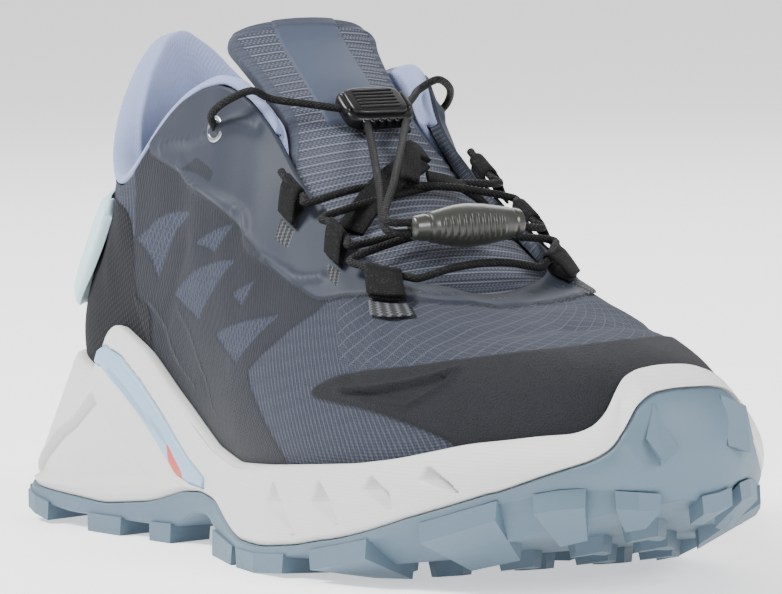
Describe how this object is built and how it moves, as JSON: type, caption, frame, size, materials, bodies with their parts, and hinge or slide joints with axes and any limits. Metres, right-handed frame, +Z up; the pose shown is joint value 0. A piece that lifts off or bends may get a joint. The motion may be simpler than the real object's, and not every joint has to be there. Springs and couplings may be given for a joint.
{
  "type": "trail running shoe",
  "caption": "Low-cut trail running shoe for the right foot: knit upper, padded collar, cord lacing, foam midsole and a deeply lugged rubber outsole with an upturned toe.",
  "frame": {"origin": "on the floor, under the middle of the shoe's bounding box", "axes": "+X to the toe, +Y to the inner side of the foot, +Z up"},
  "size_m": [0.29, 0.104, 0.1328],
  "materials": {
    "upper": "ribbed knit mesh",
    "foam": "matte moulded foam",
    "rubber": "matte moulded rubber",
    "insole": "brushed cloth on foam",
    "toe": "grained synthetic overlay",
    "film": "smooth synthetic film",
    "tab": "soft satin pull",
    "lining": "brushed padded lining",
    "lace": "woven cord and webbing",
    "metal": "satin metal ring",
    "plastic": "glossy moulded plastic",
    "grip": "translucent moulded plastic"
  },
  "bodies": {
    "root": {"upper": "upper", "midsole": "foam", "outsole": "rubber", "insole": "insole", "tongue": "upper", "toe_cap": "toe", "eyestay": "film", "heel_tab": "tab", "collar_lining": "lining", "sole_band_outer": "rubber", "sole_band_inner": "rubber", "lace_loop_outer_1": "lace", "lace_loop_outer_2": "lace", "lace_loop_outer_3": "lace", "lace_loop_inner_1": "lace", "lace_loop_inner_2": "lace", "lace_loop_inner_3": "lace", "lace": "lace", "eyelet_outer": "metal", "eyelet_inner": "metal", "lace_lock": "plastic", "pull_grip": "grip", "lace_reach_outer": "lace", "lace_reach_inner": "lace", "lace_tail_outer": "lace", "lace_tail_inner": "lace"}
  },
  "joints": []
}
